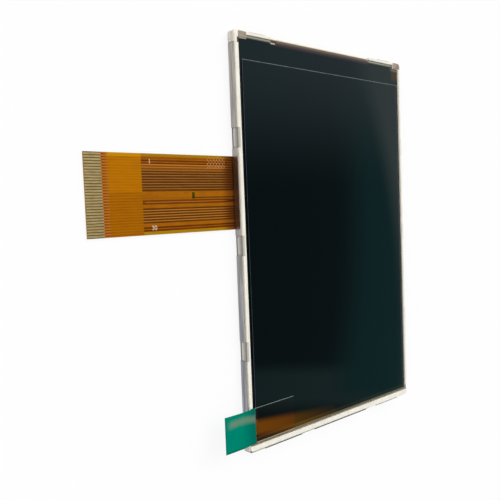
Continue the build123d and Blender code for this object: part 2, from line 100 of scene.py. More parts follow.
# The amber light bar that the screen mirrors, between two directions
GLOW_START = (0.6290, -0.3336, 0.7031)
GLOW_END = (0.7150, -0.3151, 0.6257)
GLOW_HALF_WIDTH = 0.0125
GLOW_SOFTNESS = (1.25, 0.35)
GLOW_FADE = (1.3, 0.0)
GLOW_COLOUR = (2.75, 0.82, 0.01)

# Screen and cover layer
SCREEN_GROUND = (5, 8, 9)
SCREEN_TINT = (0.56, 0.97, 1.0, 1.0)
COVER_GLOSS = 0.03
SPECK_SHARE = 0.05
# The faintest share of the painted highlights along the sheets' edges
FAINTEST_EDGE_HIGHLIGHT = 0.55
EDGE_SOFTNESS_MM = 0.04

# Painted highlights along the edges of the screen's sheets, at both sides, at the fold and at the plain
# end:
# the width of each in millimetres, and its tone
SCREEN_EDGE_HIGHLIGHTS = {
    "ledge_cover_tape": ((0.04, (22, 26, 26)), (0.04, (108, 98, 80)), (0.04, (30, 34, 34))),
    "upper_polariser": ((0.04, (16, 20, 21)), (0.04, (24, 28, 29)), (0.04, (60, 52, 34))),
    "protective_film": ((0.09, (62, 66, 76)), (0.11, (104, 112, 114)), (0.04, (112, 106, 86))),
}

# Brown margin at the film's plain end: its width, the line beside it, the painted highlight on the film's
# edge, and where along X the margin turns brown
END_MARGIN_MM = (0.85, 0.80)
END_LINE_MM = (0.86, 0.97)
END_EDGE_HIGHLIGHT_MM = (0.18, 0.10)
END_TURN_X_MM = (6.0, -16.0)

# Border of the cover tape at the folded end, from its edge: brown beside the ribbon's fold, cream along it
TAPE_BROWN_MM = (1.25, 0.30)
TAPE_EDGE_MM = (0.45, 0.08)
TAPE_CREAM_MM = (0.65, 0.0)
FOLD_SPAN_MM = (-18.1, 15.3)
FOLD_END_SOFTNESS_MM = 0.4

# Marks on the cover tape: a notch and a pale spot by the fold's left end, and painted shade by the right
# ear
TAPE_NOTCH_X_MM = (-18.0, -16.7)
TAPE_NOTCH_Y_MM = (42.72, 42.86)
PALE_SPOT_X_MM = (-18.2, -17.1)
PALE_SPOT_Y_MM = (42.40, 42.58)
TAPE_SHADE_X_MM = (24.0, 25.8)
TAPE_SHADE_Y_MM = (38.6, 40.0)
TAPE_SHADE_PALE_Y_MM = (41.3, 41.8)

# Array glass: its ground edge, and its olive strip at the plain end
GLASS_EDGE_MM = 0.02
GLASS_EDGE_SOFTNESS_MM = 0.05
GLASS_STRIP_MM = (0.42, 0.34)

# Steel shell: how strong its stains are, where its tone turns warmer along Y, the painted shade at its
# foot, its cut edge, and where painted shade darkens that edge
STAIN_SHARE = 0.5
STEEL_TURN_Y_MM = (-24.0, 16.0)
STEEL_FOOT_SHADE_Z_MM = (0.30, 0.12)
STEEL_CUT_Z_MM = (1.835, 1.845)
CUT_SHADE_X_MM = (13.0, 12.0)
CUT_SHADE_Y_MM = (-43.0, -43.3)

# Moulded frame: the depths of its outer side and of its rim, between which painted shade greys the outer
# side, the painted shade on the rim's edge at the plain end, and the painted shade on the bottom of the
# small notches
FRAME_SIDE_DEPTH_MM = (0.36, 0.26)
RIM_DEPTH_MM = (0.50, 0.60)
EDGE_SHADE_X_MM = (12.0, 10.0)
EDGE_SHADE_Y_MM = (-43.45, -43.60)
NOTCH_DEPTH_MM = (0.38, 0.30)
NOTCH_SIDE_Y_MM = (0.0, -1.0)

# Latches of the frame in the gaps of the long steel walls, along Y: the outer two, and how far each reaches
SIDE_LATCH_Y_MM = 22.2
SIDE_LATCH_HALF_MM = 2.1
LATCH_SOFTNESS_MM = 0.05
LATCH_TOP_Z_MM = (2.08, 1.98)
# Painted shade on the shoulder where a latch meets the rim: its depth, and where it turns greyer
SHOULDER_DEPTH_MM = (0.66, 0.56)
SHOULDER_TURN_DEPTH_MM = (0.50, 0.38)

# Bands of painted shade up a latch, above the darker painted shade at its foot: the height where each
# starts, its soft start, and its tone
LATCH_FOOT_SHADE = (92, 91, 88)
LATCH_SHADE_BANDS = (
    (0.30, 0.15, (148, 145, 139)),
    (0.64, 0.20, (186, 183, 177)),
    (1.04, 0.20, (154, 151, 145)),
    (1.46, 0.20, (124, 120, 112)),
)

# Thin ears of the frame over the corners at the folded end, and the strip beside the right one
EAR_X_DEPTH_MM = (3.22, 3.16)
EAR_Y_DEPTH_MM = (1.72, 1.66)
EAR_SIDE_DEPTH_MM = (0.88, 0.94)
EAR_Z_DEPTH_MM = (0.18, 0.08)
EAR_DARK_DEPTH_MM = (1.25, 1.65)
EAR_STRIP_X_DEPTH_MM = (0.98, 0.92)
EAR_STRIP_Z_DEPTH_MM = (0.08, 0.04)

# A slot in the rim beside the left ear, darkened with painted shade
SLOT_X_MM = (-28.02, -27.66)
SLOT_Y_MM = (41.4, 42.3)

# Peel tab: the painted highlight arc across its free end, how far that end slants, where it darkens to the
# bend, its darker edges, and the painted highlight along its upper edge where it is stuck
TAB_HIGHLIGHT_TOP_MM = (-34.5, -35.55)
TAB_HIGHLIGHT_FALL = 0.0225
TAB_HIGHLIGHT_WIDTH_MM = (1.25, 0.1)
TAB_HIGHLIGHT_SHARE = 0.40
TAB_HIGHLIGHT_START_MM = (0.3, 2.2)
TAB_SLANT_MM = 0.85
TAB_BEND_X_MM = -32.0
TAB_LOWER_EDGE_MM = (0.45, 0.05)
TAB_FREE_EDGE_MM = (0.30, 0.10)
TAB_UPPER_HIGHLIGHT_MM = (0.14, 0.08)

# Peel tab where it is stuck: the film's margin seen through it, and its bend by the film's edge, which
# carries a painted reflection of the amber light bar
TAB_MARGIN_MM = (1.6, 0.9)
TAB_LINE_MM = (0.84, 0.98)
TAB_BENT_MM = (0.36, 0.26)
TAB_GLOW_Y_MM = (-40.0, -37.2)
TAB_PAST_FILM_MM = (0.02, 0.12)
TAB_STUCK_MM = (0.26, 0.20)

# Ribbon tail, along X from its free end to the module
CONTACTS_END_MM = -58.80
DASHES_START_MM = -58.50
DASHES_END_MM = -57.50
TRACES_START_MM = -57.0
BLOCK_END_MM = -50.60
# Painted shade on the tail next to the module: where it starts and where it is full
SHADE_X_MM = (-32.2, -29.4)

# Ribbon tail, across it along Y: its two margins, the middle and upper margin of the plain block,
# and the traces that differ from the rest
UPPER_MARGIN_MM = (17.95, 18.1)
LOWER_MARGIN_MM = (4.35, 4.2)
BLOCK_MIDDLE_MM = (11.1, 11.6)
BLOCK_MARGIN_MM = (17.75, 18.1)
UPPER_OUTER_TRACES_MM = (16.0, 16.2)
LOWER_OUTER_TRACES_MM = (5.4, 5.2)
TOP_TRACE_MM = (17.4, 17.5)
TRACE_MARGIN_MM = (17.95, 18.05)
PLAIN_STRIP_MM = (15.3, 16.6)
JOINED_TRACE_MM = (9.04, 9.88)
JOINED_MIDDLE_MM = (9.40, 9.52)
SINGLE_TRACE_MM = (10.0, 10.4)
SINGLE_TRACE_PALE_X_MM = (-38.4, -39.6)

# Strips of the ribbon between the traces, along Y, with the tone of each
STRIPS_BETWEEN = (
    ((11.75, 15.45), (186, 130, 62)),
    ((5.75, 8.15), (184, 120, 42)),
    ((15.5, 16.6), (190, 122, 44)),
)

# The ribbon's fold: where the ribbon turns golden, climbs over the edge, and goes from painted shade to a
# pale painted highlight round the fold, and the depth below which its back begins
FOLD_GOLD_Y_MM = (40.0, 41.0)
FOLD_EDGE_Y_MM = (42.6, 43.0)
FOLD_EDGE_Z_MM = (0.2, 0.6)
FOLD_SHADE_TO_HIGHLIGHT_Y_MM = (43.22, 43.72)
RIBBON_BACK_Z_MM = (-0.10, -0.13)

# Printed marks on the tail
MARK_HEIGHT = 0.86 * MM
MARK_THICKNESS = 0.006 * MM
FIRST_MARK_PLACE = Vector((-48.75, 17.05, 0.0)) * MM
LAST_MARK_PLACE = Vector((-48.3, 4.65, 0.0)) * MM
FONT_SIZE_SHARE = 1.4
FONT_WEIGHT_SHARE = 0.02

# Bare dots and the covered pad on the tail
DOTS_PLACE = Vector((-32.9, 16.95, 0.0)) * MM
DOT_COLUMNS = 12
DOT_ROWS = 5
DOT_SIDES = 8
DOT_PITCH = 0.36 * MM
DOT_RADIUS = 0.09 * MM
PAD_PLACE = Vector((-38.9, 10.62, 0.0)) * MM
PAD_WIDTH = 0.62 * MM
PAD_LENGTH = 1.25 * MM


def tone(red, green, blue):
    """A display colour from 0 to 255 as the linear colour that a shader takes."""
    linear = []
    for value in (red, green, blue):
        share = value / 255
        linear.append(share / 12.92 if share <= 0.04045 else ((share + 0.055) / 1.055) ** 2.4)
    return (*linear, 1.0)


def put(tree, kind, settings=None, inputs=None):
    """A node with the given settings, its inputs set to values or joined to sockets."""
    node = tree.nodes.new(kind)
    for name, value in (settings or {}).items():
        setattr(node, name, value)
    for name, value in (inputs or {}).items():
        if isinstance(value, bpy.types.NodeSocket):
            tree.links.new(value, node.inputs[name])
        else:
            node.inputs[name].default_value = value
    return node


def result_of(tree, operation, first, second=0.0, third=0.0):
    """The output of one math node."""
    return put(tree, "ShaderNodeMath", {"operation": operation}, {0: first, 1: second, 2: third}).outputs[0]


def ramp(tree, value, start, full, low=0.0, high=1.0):
    """A smooth change from low to high while the value goes from start to full."""
    settings = {"interpolation_type": "SMOOTHSTEP"}
    inputs = {"Value": value, "From Min": start, "From Max": full, "To Min": low, "To Max": high}
    return put(tree, "ShaderNodeMapRange", settings, inputs).outputs["Result"]


def blend(tree, share, first, second):
    """A mix of two colours by the share of the second."""
    node = put(tree, "ShaderNodeMix", {"data_type": "RGBA"})
    for index, value in ((0, share), (6, first), (7, second)):
        if isinstance(value, bpy.types.NodeSocket):
            tree.links.new(value, node.inputs[index])
        else:
            node.inputs[index].default_value = value
    return node.outputs[2]


def new_group(name, inputs, outputs):
    """An empty shader group with named inputs and outputs."""
    tree = bpy.data.node_groups.new(name, "ShaderNodeTree")
    for socket, kind, value in inputs:
        tree.interface.new_socket(socket, in_out="INPUT", socket_type=kind).default_value = value
    for socket, kind in outputs:
        tree.interface.new_socket(socket, in_out="OUTPUT", socket_type=kind)
    return tree, tree.nodes.new("NodeGroupInput"), tree.nodes.new("NodeGroupOutput")


def use(tree, group, inputs=None):
    """A group placed in a material, with its own values."""
    return put(tree, "ShaderNodeGroup", {"node_tree": group}, inputs).outputs


def place_group():
    """Where a point lies on the module, in millimetres."""
    outputs = [("Place", "NodeSocketVector"), ("X", "NodeSocketFloat"),
               ("Y", "NodeSocketFloat"), ("Z", "NodeSocketFloat")]
    tree, _, end = new_group("Place on the module", [], outputs)
    coordinates = put(tree, "ShaderNodeTexCoord").outputs["Object"]
    place = put(tree, "ShaderNodeVectorMath", {"operation": "SCALE"}, {0: coordinates, "Scale": 1 / MM})
    parts = put(tree, "ShaderNodeSeparateXYZ", None, {0: place.outputs[0]})
    tree.links.new(place.outputs[0], end.inputs["Place"])
    for axis in "XYZ":
        tree.links.new(parts.outputs[axis], end.inputs[axis])
    return tree


def mottle_group():
    """A soft cloudy mask, with the size of its clouds set by a scale per millimetre on each axis."""
    inputs = [("Scale", "NodeSocketVector", (1.0, 1.0, 1.0)), ("Detail", "NodeSocketFloat", 3.0),
              ("Low", "NodeSocketFloat", 0.35), ("High", "NodeSocketFloat", 0.65)]
    tree, start, end = new_group("Mottle", inputs, [("Mask", "NodeSocketFloat")])
    place = use(tree, PLACE)["Place"]
    scaled = put(tree, "ShaderNodeVectorMath", {"operation": "MULTIPLY"},
                 {0: place, 1: start.outputs["Scale"]})
    noise = put(tree, "ShaderNodeTexNoise", None,
                {"Vector": scaled.outputs[0], "Scale": 1.0, "Detail": start.outputs["Detail"]})
    mask = ramp(tree, noise.outputs["Fac"], start.outputs["Low"], start.outputs["High"])
    tree.links.new(mask, end.inputs["Mask"])
    return tree


def clouds_of(tree, scale, low=0.35, high=0.65, detail=3.0):
    """The mottle's mask with its own values."""
    return use(tree, MOTTLE, {"Scale": scale, "Detail": detail, "Low": low, "High": high})["Mask"]


def handling_group():
    """The faint haze and fine specks that handling leaves on a smooth surface."""
    inputs = [("Amount", "NodeSocketFloat", 1.0)]
    tree, start, end = new_group("Handling marks", inputs,
                                 [("Haze", "NodeSocketFloat"), ("Specks", "NodeSocketFloat")])
    haze = clouds_of(tree, (0.11, 0.07, 0.11), low=0.42, high=0.75, detail=4.0)
    specks = clouds_of(tree, (3.1, 3.1, 3.1), low=0.70, high=0.78, detail=2.0)
    for name, mask in (("Haze", haze), ("Specks", specks)):
        tree.links.new(result_of(tree, "MULTIPLY", mask, start.outputs["Amount"]), end.inputs[name])
    return tree


def border_group():
    """A mask of 1 along the border of a rectangle in X and Y, and 0 further in."""
    inputs = [("Middle X", "NodeSocketFloat", 0.0), ("Middle Y", "NodeSocketFloat", 0.0),
              ("Half X", "NodeSocketFloat", 1.0), ("Half Y", "NodeSocketFloat", 1.0),
              ("Width", "NodeSocketFloat", 0.1), ("Softness", "NodeSocketFloat", 0.05)]
    tree, start, end = new_group("Border", inputs, [("Mask", "NodeSocketFloat")])
    spots = use(tree, PLACE)
    depths = []
    for axis in "XY":
        offset = result_of(tree, "SUBTRACT", spots[axis], start.outputs[f"Middle {axis}"])
        reach = result_of(tree, "ABSOLUTE", offset)
        depths.append(result_of(tree, "SUBTRACT", start.outputs[f"Half {axis}"], reach))
    depth = result_of(tree, "MINIMUM", depths[0], depths[1])
    limit = result_of(tree, "ADD", start.outputs["Width"], start.outputs["Softness"])
    mask = ramp(tree, depth, start.outputs["Width"], limit, 1.0, 0.0)
    tree.links.new(mask, end.inputs["Mask"])
    return tree


PLACE = place_group()
MOTTLE = mottle_group()
HANDLING = handling_group()
BORDER = border_group()


def new_finish(name, **sockets):
    """A material whose shader has the given plain values, with its tree and shader."""
    material = bpy.data.materials.new(name)
    material.use_nodes = True
    shader = material.node_tree.nodes["Principled BSDF"]
    for socket, value in sockets.items():
        shader.inputs[socket.replace("_", " ")].default_value = value
    return material, material.node_tree, shader


def feed(tree, shader, **sockets):
    """Joins outputs to the shader's inputs."""
    for socket, output in sockets.items():
        tree.links.new(output, shader.inputs[socket.replace("_", " ")])


def bump(tree, height, depth_mm, strength=1.0):
    """A normal from a height mask that stands for a depth in millimetres."""
    inputs = {"Strength": strength, "Distance": depth_mm * MM, "Height": height}
    return put(tree, "ShaderNodeBump", None, inputs).outputs["Normal"]


def mixed(tree, mask, first, second):
    """A mix of two display colours."""
    return blend(tree, mask, tone(*first), tone(*second))


def varying(tree, mask, low, high):
    """A value that goes from low to high with a mask."""
    return ramp(tree, mask, 0.0, 1.0, low, high)


def plain_mottled(name, light, dark, scale, rough, **sockets):
    """A finish of two close tones in soft clouds, with its roughness varying between two values."""
    material, tree, shader = new_finish(name, **sockets)
    clouds = clouds_of(tree, (scale, scale, scale))
    feed(tree, shader, Base_Color=mixed(tree, clouds, light, dark),
         Roughness=varying(tree, clouds, *rough))
    return material


def times(tree, *masks):
    """The product of several masks."""
    result = masks[0]
    for mask in masks[1:]:
        result = result_of(tree, "MULTIPLY", result, mask)
    return result


def within(tree, value, start, end, softness=EDGE_SOFTNESS_MM):
    """A mask of 1 while the value lies between two limits."""
    return times(tree, ramp(tree, value, start - softness, start), ramp(tree, value, end + softness, end))


def inside(edge, depths):
    """The places that lie at the given depths in from an edge on the high side."""
    return [edge - depth for depth in depths]


def beyond(edge, depths):
    """The places that lie at the given distances past an edge, towards the high side."""
    return [edge + depth for depth in depths]


def steel_finish():
    """Bright rolled stainless, its grain running along the module's length, its cut edge paler; painted
    shade darkens its foot and its cut edge at the plain end.
    """
    material, tree, shader = new_finish("rolled steel", Metallic=1.0)
    spots = use(tree, PLACE)
    grain = clouds_of(tree, (9.0, 0.10, 5.5), low=0.32, high=0.68, detail=4.0)
    stain = clouds_of(tree, (0.20, 0.09, 0.8), low=0.45, high=0.70)
    to_fold = ramp(tree, spots["Y"], *STEEL_TURN_Y_MM)
    pale = mixed(tree, to_fold, (164, 166, 172), (180, 174, 168))
    dull_grain_and_shade = mixed(tree, to_fold, (124, 126, 131), (146, 140, 134))
    bright = blend(tree, grain, pale, dull_grain_and_shade)
    worn = blend(tree, result_of(tree, "MULTIPLY", stain, STAIN_SHARE), bright, tone(116, 114, 114))
    # Painted shade low on the wall, by the floor
    foot_shaded = blend(tree, ramp(tree, spots["Z"], *STEEL_FOOT_SHADE_Z_MM), worn, tone(112, 111, 112))
    # Painted shade on the cut edge at the plain end; elsewhere the cut edge is paler
    cut_shade_at_end = times(tree, ramp(tree, spots["Y"], *CUT_SHADE_Y_MM),
                         ramp(tree, spots["X"], *CUT_SHADE_X_MM))
    cut_edge = mixed(tree, cut_shade_at_end, (196, 192, 184), (72, 71, 70))
    colour = blend(tree, ramp(tree, spots["Z"], *STEEL_CUT_Z_MM), foot_shaded, cut_edge)
    feed(tree, shader, Base_Color=colour, Roughness=varying(tree, grain, 0.22, 0.40),
         Normal=bump(tree, grain, depth_mm=0.003))
    return material


def latch_shade(tree, colour, spots, reach_x, half_x, outer_side):
    """Bands of painted shade up each latch of the long sides, and greyer painted shade on the shoulder
    where it meets the rim.
    """
    reach_y = result_of(tree, "ABSOLUTE", spots["Y"])
    from_outer = result_of(tree, "ABSOLUTE", result_of(tree, "SUBTRACT", reach_y, SIDE_LATCH_Y_MM))
    from_latch = result_of(tree, "MINIMUM", reach_y, from_outer)
    at_latch = ramp(tree, from_latch, SIDE_LATCH_HALF_MM + LATCH_SOFTNESS_MM,
                    SIDE_LATCH_HALF_MM - LATCH_SOFTNESS_MM)
    turn = ramp(tree, reach_x, *inside(half_x, SHOULDER_TURN_DEPTH_MM))
    # Painted shade on the shoulder where the latch meets the rim
    on_shoulder = times(tree, at_latch, ramp(tree, reach_x, *inside(half_x, SHOULDER_DEPTH_MM)))
    colour = blend(tree, on_shoulder, colour, mixed(tree, turn, (218, 213, 202), (188, 184, 174)))
    # Painted shade up the latch, darkest at its foot
    shade_bands = tone(*LATCH_FOOT_SHADE)
    for start, softness, band in LATCH_SHADE_BANDS:
        shade_bands = blend(tree, ramp(tree, spots["Z"], start, start + softness), shade_bands, tone(*band))
    on_latch = times(tree, at_latch, outer_side, ramp(tree, spots["Z"], *LATCH_TOP_Z_MM))
    return blend(tree, on_latch, colour, shade_bands)


def ear_tone_and_shade(tree, colour, spots, reach_x, half_x, half_y, top):
    """Brownish tone on the thin ears at the folded end, darker further from the end, and painted shade on
    the strip beside the right ear.
    """
    over_corner = times(tree, ramp(tree, reach_x, *inside(half_x, EAR_X_DEPTH_MM)),
                        ramp(tree, spots["Y"], *inside(half_y, EAR_Y_DEPTH_MM)))
    ear = times(tree, over_corner, ramp(tree, reach_x, *inside(half_x, EAR_SIDE_DEPTH_MM)),
                within(tree, spots["Z"], *inside(top, EAR_Z_DEPTH_MM), softness=0.02))
    # Painted shade on the rim's inner wall beside the right ear
    right_strip = times(tree, over_corner, ramp(tree, spots["X"], *inside(half_x, EAR_STRIP_X_DEPTH_MM)),
                        ramp(tree, spots["Z"], *inside(top, EAR_STRIP_Z_DEPTH_MM)))
    patches = clouds_of(tree, (1.1, 1.1, 1.1), low=0.25, high=0.75)
    ear_brown_and_shade = mixed(tree, patches, (168, 154, 136), (140, 124, 106))
    from_end = ramp(tree, spots["Y"], *inside(half_y, EAR_DARK_DEPTH_MM))
    ear_brown_and_shade = blend(tree, from_end, ear_brown_and_shade, tone(112, 100, 86))
    return blend(tree, result_of(tree, "MAXIMUM", ear, right_strip), colour, ear_brown_and_shade)


def frame_finish():
    """Cream white moulding with painted shade: greyer low on its outer side, on its latches, in a slot,
    along the rim's edge at the plain end and in its notches; brownish on the thin ears at the folded end.
    """
    material, tree, shader = new_finish("moulded frame", IOR=1.49)
    half_x, half_y, top = (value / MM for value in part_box("mould_frame")[1])
    spots = use(tree, PLACE)
    rim = mixed(tree, clouds_of(tree, (0.5, 0.25, 0.5)), (244, 240, 228), (236, 231, 216))
    reach_x = result_of(tree, "ABSOLUTE", spots["X"])
    outer_side = ramp(tree, reach_x, *inside(half_x, FRAME_SIDE_DEPTH_MM))
    below_rim = ramp(tree, spots["Z"], *inside(top, RIM_DEPTH_MM))
    side = mixed(tree, clouds_of(tree, (1.0, 0.12, 4.0)), (206, 200, 190), (178, 171, 161))
    # Painted shade greys the outer side below the rim
    colour = blend(tree, times(tree, outer_side, below_rim), rim, side)
    colour = latch_shade(tree, colour, spots, reach_x, half_x, outer_side)
    colour = ear_tone_and_shade(tree, colour, spots, reach_x, half_x, half_y, top)
    # Painted shade inside the slot beside the left ear
    slot_shade = times(tree, within(tree, spots["X"], *SLOT_X_MM, softness=0.05),
                 within(tree, spots["Y"], *SLOT_Y_MM, softness=0.2))
    colour = blend(tree, slot_shade, colour, tone(70, 56, 46))
    # Painted shade along the rim's outer edge at the plain end
    edge_shade = times(tree, ramp(tree, spots["Y"], *EDGE_SHADE_Y_MM),
                      ramp(tree, spots["X"], *EDGE_SHADE_X_MM))
    colour = blend(tree, edge_shade, colour, tone(136, 134, 127))
    # Painted shade on the bottom of the small notches
    notch = times(tree, ramp(tree, spots["Y"], *NOTCH_SIDE_Y_MM),
                  within(tree, spots["Z"], *inside(top, NOTCH_DEPTH_MM), softness=0.02))
    colour = blend(tree, notch, colour, tone(128, 126, 116))
    grain = clouds_of(tree, (14.0, 14.0, 14.0), detail=2.0)
    feed(tree, shader, Base_Color=colour, Roughness=varying(tree, grain, 0.42, 0.56),
         Normal=bump(tree, grain, depth_mm=0.004))
    return material


def end_margin_marks(tree, colour, spots, to_end):
    """The brown strip along the film's plain end, with a line beside it and a painted highlight along its
    edge.
    """
    to_left = ramp(tree, spots["X"], *END_TURN_X_MM)
    brown = mixed(tree, to_left, (22, 26, 22), (58, 46, 22))
    colour = blend(tree, ramp(tree, to_end, *END_MARGIN_MM), colour, brown)
    line = mixed(tree, to_left, (30, 30, 24), (72, 56, 24))
    colour = blend(tree, within(tree, to_end, *END_LINE_MM), colour, line)
    edge_highlight = mixed(tree, to_left, (104, 98, 80), (152, 140, 112))
    # Painted highlight along the film's end edge
    return blend(tree, ramp(tree, to_end, *END_EDGE_HIGHLIGHT_MM), colour, edge_highlight)


def fold_margin_marks(tree, colour, spots, to_fold):
    """The cover tape's marks, painted shade by the right ear, and its soft border at the fold: cream along
    the ribbon, brown beside it.
    """
    left, right = FOLD_SPAN_MM
    beside_fold = result_of(tree, "MAXIMUM", ramp(tree, spots["X"], left, left - FOLD_END_SOFTNESS_MM),
                         ramp(tree, spots["X"], right, right + FOLD_END_SOFTNESS_MM))
    brown = blend(tree, ramp(tree, to_fold, *TAPE_BROWN_MM), colour, tone(72, 50, 54))
    brown = blend(tree, ramp(tree, to_fold, *TAPE_EDGE_MM), brown, tone(108, 96, 78))
    cream = blend(tree, ramp(tree, to_fold, *TAPE_CREAM_MM), colour, tone(182, 178, 160))
    colour = blend(tree, beside_fold, brown, cream)
    notch = times(tree, within(tree, spots["X"], *TAPE_NOTCH_X_MM, softness=0.2),
                  ramp(tree, spots["Y"], *TAPE_NOTCH_Y_MM))
    colour = blend(tree, notch, colour, tone(48, 34, 2))
    pale_spot = times(tree, within(tree, spots["X"], *PALE_SPOT_X_MM, softness=0.3),
                      within(tree, spots["Y"], *PALE_SPOT_Y_MM, softness=0.1))
    colour = blend(tree, pale_spot, colour, tone(196, 182, 150))
    # Painted shade on the tape beside the right ear, paler nearer the fold
    dull_grain_and_shade = mixed(tree, ramp(tree, spots["Y"], *TAPE_SHADE_PALE_Y_MM), (54, 34, 10), (105, 88, 72))
    tape_shade_patch = times(tree, ramp(tree, spots["X"], *TAPE_SHADE_X_MM),
                       ramp(tree, spots["Y"], *TAPE_SHADE_Y_MM))
    return blend(tree, tape_shade_patch, colour, dull_grain_and_shade)


def screen_finish(name, node):
    """A near-black gloss sheet with painted highlights along its edges.

    The film also has a brown margin at its plain end, and the cover tape a border at the fold.
    """
    material, tree, shader = new_finish(name, IOR=1.5, Specular_Tint=SCREEN_TINT)
    low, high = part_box(node)
    spots = use(tree, PLACE)
    marks = use(tree, HANDLING, {"Amount": 1.0})
    specks = result_of(tree, "MULTIPLY", marks["Specks"], SPECK_SHARE)
    colour = blend(tree, specks, tone(*SCREEN_GROUND), tone(60, 72, 76))
    middle_x = (low.x + high.x) / 2 / MM
    from_middle = result_of(tree, "ABSOLUTE", result_of(tree, "SUBTRACT", spots["X"], middle_x))
    to_side = result_of(tree, "SUBTRACT", (high.x - low.x) / 2 / MM, from_middle)
    to_fold = result_of(tree, "SUBTRACT", high.y / MM, spots["Y"])
    to_end = result_of(tree, "SUBTRACT", spots["Y"], low.y / MM)
    if node == "protective_film":
        colour = end_margin_marks(tree, colour, spots, to_end)
    if node == "ledge_cover_tape":
        colour = fold_margin_marks(tree, colour, spots, to_fold)
    broken = clouds_of(tree, (0.35, 0.35, 0.35), low=0.2, high=0.6)
    strength = varying(tree, broken, FAINTEST_EDGE_HIGHLIGHT, 1.0)
    # Painted highlights along the sheet's edges, broken in strength by soft clouds
    for distance, (width_mm, line) in zip((to_side, to_fold, to_end), SCREEN_EDGE_HIGHLIGHTS[node]):
        mask = within(tree, distance, 0.0, width_mm)
        colour = blend(tree, times(tree, mask, strength), colour, tone(*line))
    feed(tree, shader, Base_Color=colour, Roughness=varying(tree, marks["Haze"], 0.015, 0.03))
    return material


def glass_finish():
    """Dark cell glass with a paler ground edge, olive at the plain end."""
    material, tree, shader = new_finish("cell glass", IOR=1.52)
    low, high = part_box("array_glass")
    spots = use(tree, PLACE)
    edges = use(tree, BORDER, {"Middle Y": (low.y + high.y) / 2 / MM, "Half X": high.x / MM,
                               "Half Y": (high.y - low.y) / 2 / MM, "Width": GLASS_EDGE_MM,
                               "Softness": GLASS_EDGE_SOFTNESS_MM})["Mask"]
    chips = clouds_of(tree, (4.0, 4.0, 4.0))
    ground = mixed(tree, chips, (20, 24, 24), (34, 40, 39))
    end_strip = ramp(tree, spots["Y"], *beyond(low.y / MM, GLASS_STRIP_MM))
    olive = mixed(tree, chips, (124, 116, 90), (110, 103, 80))
    colour = blend(tree, edges, tone(4, 6, 7), ground)
    feed(tree, shader, Base_Color=blend(tree, end_strip, colour, olive),
         Roughness=varying(tree, edges, 0.06, 0.5))
    return material


def free_tab_colour(tree, spots, streaks, low, film_left):
    """Even green film with one painted highlight arc, its edges darker."""
    free = mixed(tree, streaks, (0, 134, 111), (0, 125, 103))
    free = blend(tree, ramp(tree, spots["X"], TAB_BEND_X_MM, film_left), free, tone(0, 104, 88))
    # Painted highlight: a pale arc across the free end
    from_top = result_of(tree, "SUBTRACT", spots["X"], TAB_HIGHLIGHT_TOP_MM[0])
    fall = result_of(tree, "MULTIPLY", result_of(tree, "MULTIPLY", from_top, from_top), TAB_HIGHLIGHT_FALL)
    highlight_middle = result_of(tree, "SUBTRACT", TAB_HIGHLIGHT_TOP_MM[1], fall)
    from_highlight = result_of(tree, "ABSOLUTE", result_of(tree, "SUBTRACT", spots["Y"], highlight_middle))
    highlight_arc = times(tree, ramp(tree, from_highlight, *TAB_HIGHLIGHT_WIDTH_MM),
                ramp(tree, spots["X"], *beyond(low.x / MM, TAB_HIGHLIGHT_START_MM)))
    free = blend(tree, result_of(tree, "MULTIPLY", highlight_arc, TAB_HIGHLIGHT_SHARE), free, tone(150, 150, 122))
    lower_edge = ramp(tree, spots["X"], film_left, low.x / MM, low.y / MM, low.y / MM + TAB_SLANT_MM)
    above_edge = result_of(tree, "SUBTRACT", spots["Y"], lower_edge)
    free = blend(tree, ramp(tree, above_edge, *TAB_LOWER_EDGE_MM), free, tone(0, 104, 84))
    at_free_edge = ramp(tree, spots["X"], *beyond(low.x / MM, TAB_FREE_EDGE_MM))
    return blend(tree, at_free_edge, free, tone(0, 112, 92))


def stuck_tab_colour(tree, spots, high, film_low):
    """The tab on the screen: dark, with the film's margin seen through it, a painted reflection of the
    amber light bar at the bend, and a painted highlight along its upper edge.
    """
    film_left = film_low.x / MM
    above_end = result_of(tree, "SUBTRACT", spots["Y"], film_low.y / MM)
    stuck = mixed(tree, ramp(tree, above_end, *TAB_MARGIN_MM), (4, 8, 9), (44, 28, 10))
    stuck = blend(tree, within(tree, above_end, *TAB_LINE_MM), stuck, tone(64, 48, 20))
    # Painted highlight of the film's end edge, seen through the tab
    stuck = blend(tree, ramp(tree, above_end, *END_EDGE_HIGHLIGHT_MM), stuck, tone(156, 144, 116))
    # Painted reflection of the amber light bar on the bend by the film's edge
    bent = ramp(tree, spots["X"], *beyond(film_left, TAB_BENT_MM))
    brown = times(tree, bent, within(tree, spots["Y"], *TAB_GLOW_Y_MM, softness=0.5))
    stuck = blend(tree, brown, stuck, tone(106, 62, 10))
    past_film = ramp(tree, spots["X"], *inside(film_left, TAB_PAST_FILM_MM))
    stuck = blend(tree, past_film, stuck, tone(52, 66, 44))
    # Painted highlight along the upper edge of the stuck part
    upper_edge_highlight = ramp(tree, spots["Y"], *inside(high.y / MM - TAB_SLANT_MM, TAB_UPPER_HIGHLIGHT_MM))
    return blend(tree, upper_edge_highlight, stuck, tone(122, 134, 132))


